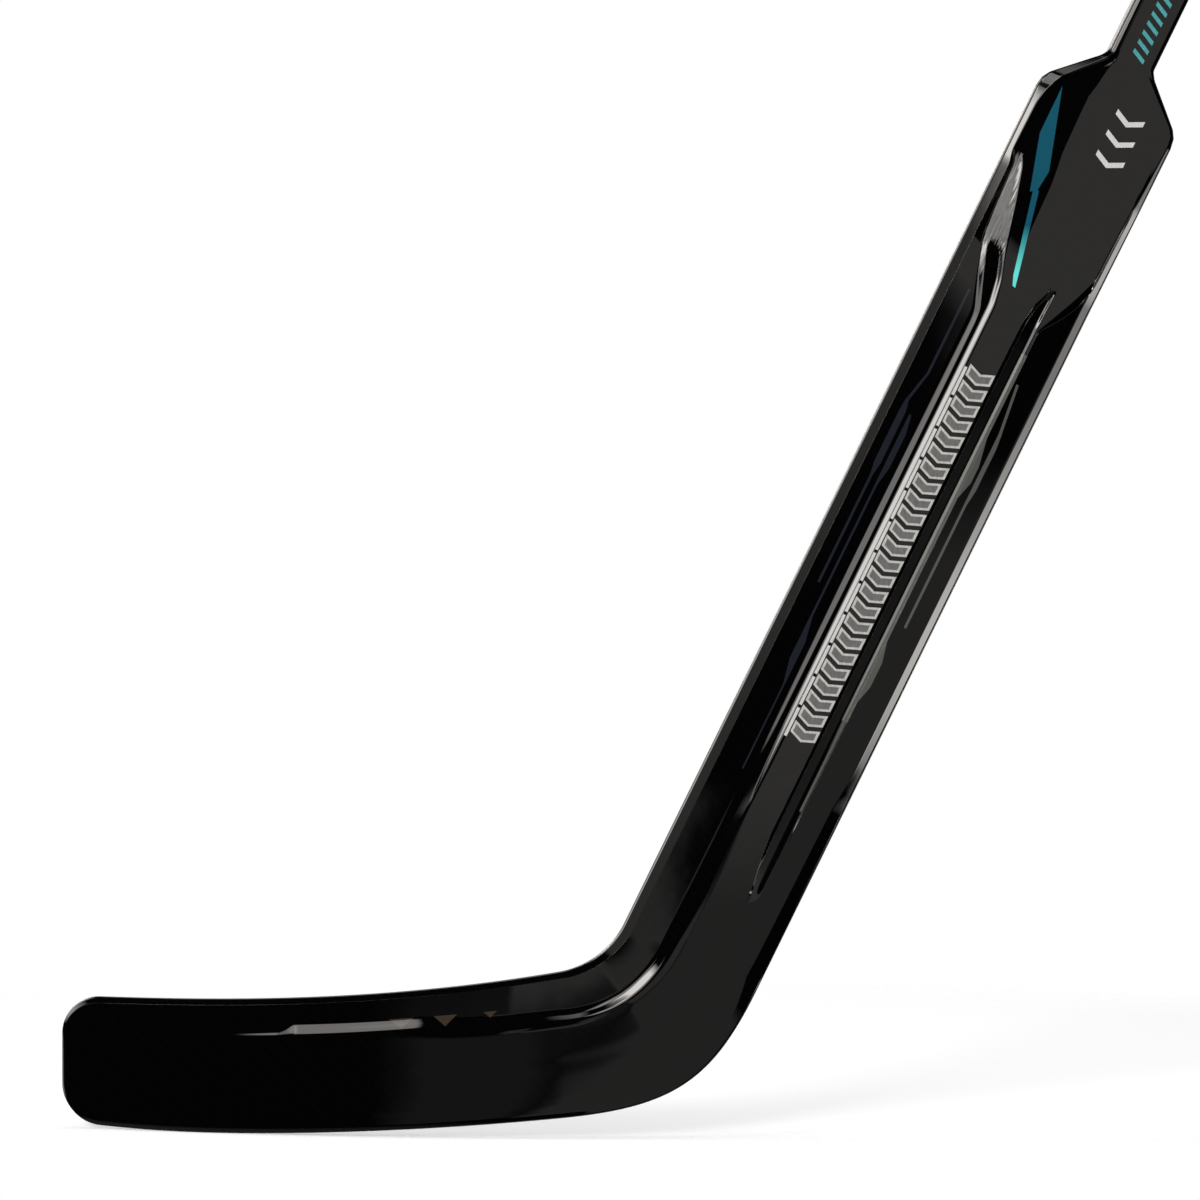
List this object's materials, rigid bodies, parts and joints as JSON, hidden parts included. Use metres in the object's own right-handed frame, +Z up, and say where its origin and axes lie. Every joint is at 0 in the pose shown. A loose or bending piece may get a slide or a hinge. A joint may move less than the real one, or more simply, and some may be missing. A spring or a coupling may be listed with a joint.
{
  "type": "hockey goalie stick",
  "caption": "Goalie stick with a hollow rectangular shaft, a wide carved paddle, a round heel and a curved blade, black clear-coated composite with a teal flash.",
  "frame": {"origin": "on the flat front face of the shaft, on its centre line, 40 mm above the neck where the paddle begins", "axes": "+Z up with the stick standing on its blade as in play, +X to the side the shaft leans to, -Y out of the front face"},
  "size_m": [0.9704, 0.0536, 1.2835],
  "materials": {
    "clear_coated_carbon": "black carbon laminate under a glossy clear coat, with teal and silver print",
    "bare_laminate": "uncoated carbon laminate",
    "moulded_resin": "dense moulded resin",
    "rigid_foam": "fine closed-cell foam",
    "soft_rubber": "satin moulded rubber",
    "plug_wood": "plain sanded wood"
  },
  "bodies": {
    "root": {"shaft_tube": "clear_coated_carbon", "shaft_tenon": "bare_laminate", "butt_cap": "soft_rubber", "butt_plug": "plug_wood", "paddle_front_skin": "clear_coated_carbon", "paddle_back_skin": "clear_coated_carbon", "shoulder_block_inner": "moulded_resin", "shoulder_block_outer": "moulded_resin", "paddle_inner_rail": "bare_laminate", "paddle_inner_core": "rigid_foam", "paddle_inner_web": "bare_laminate", "paddle_centre_core": "rigid_foam", "damper_strip": "soft_rubber", "paddle_outer_web": "bare_laminate", "paddle_outer_core": "rigid_foam", "paddle_outer_rail": "bare_laminate", "blade_front_skin": "clear_coated_carbon", "blade_back_skin": "clear_coated_carbon", "heel_block": "moulded_resin", "blade_top_rail": "bare_laminate", "blade_upper_core": "rigid_foam", "blade_bridge": "bare_laminate", "blade_lower_core": "rigid_foam", "blade_foot_rail": "bare_laminate", "toe_block": "moulded_resin"}
  },
  "joints": []
}
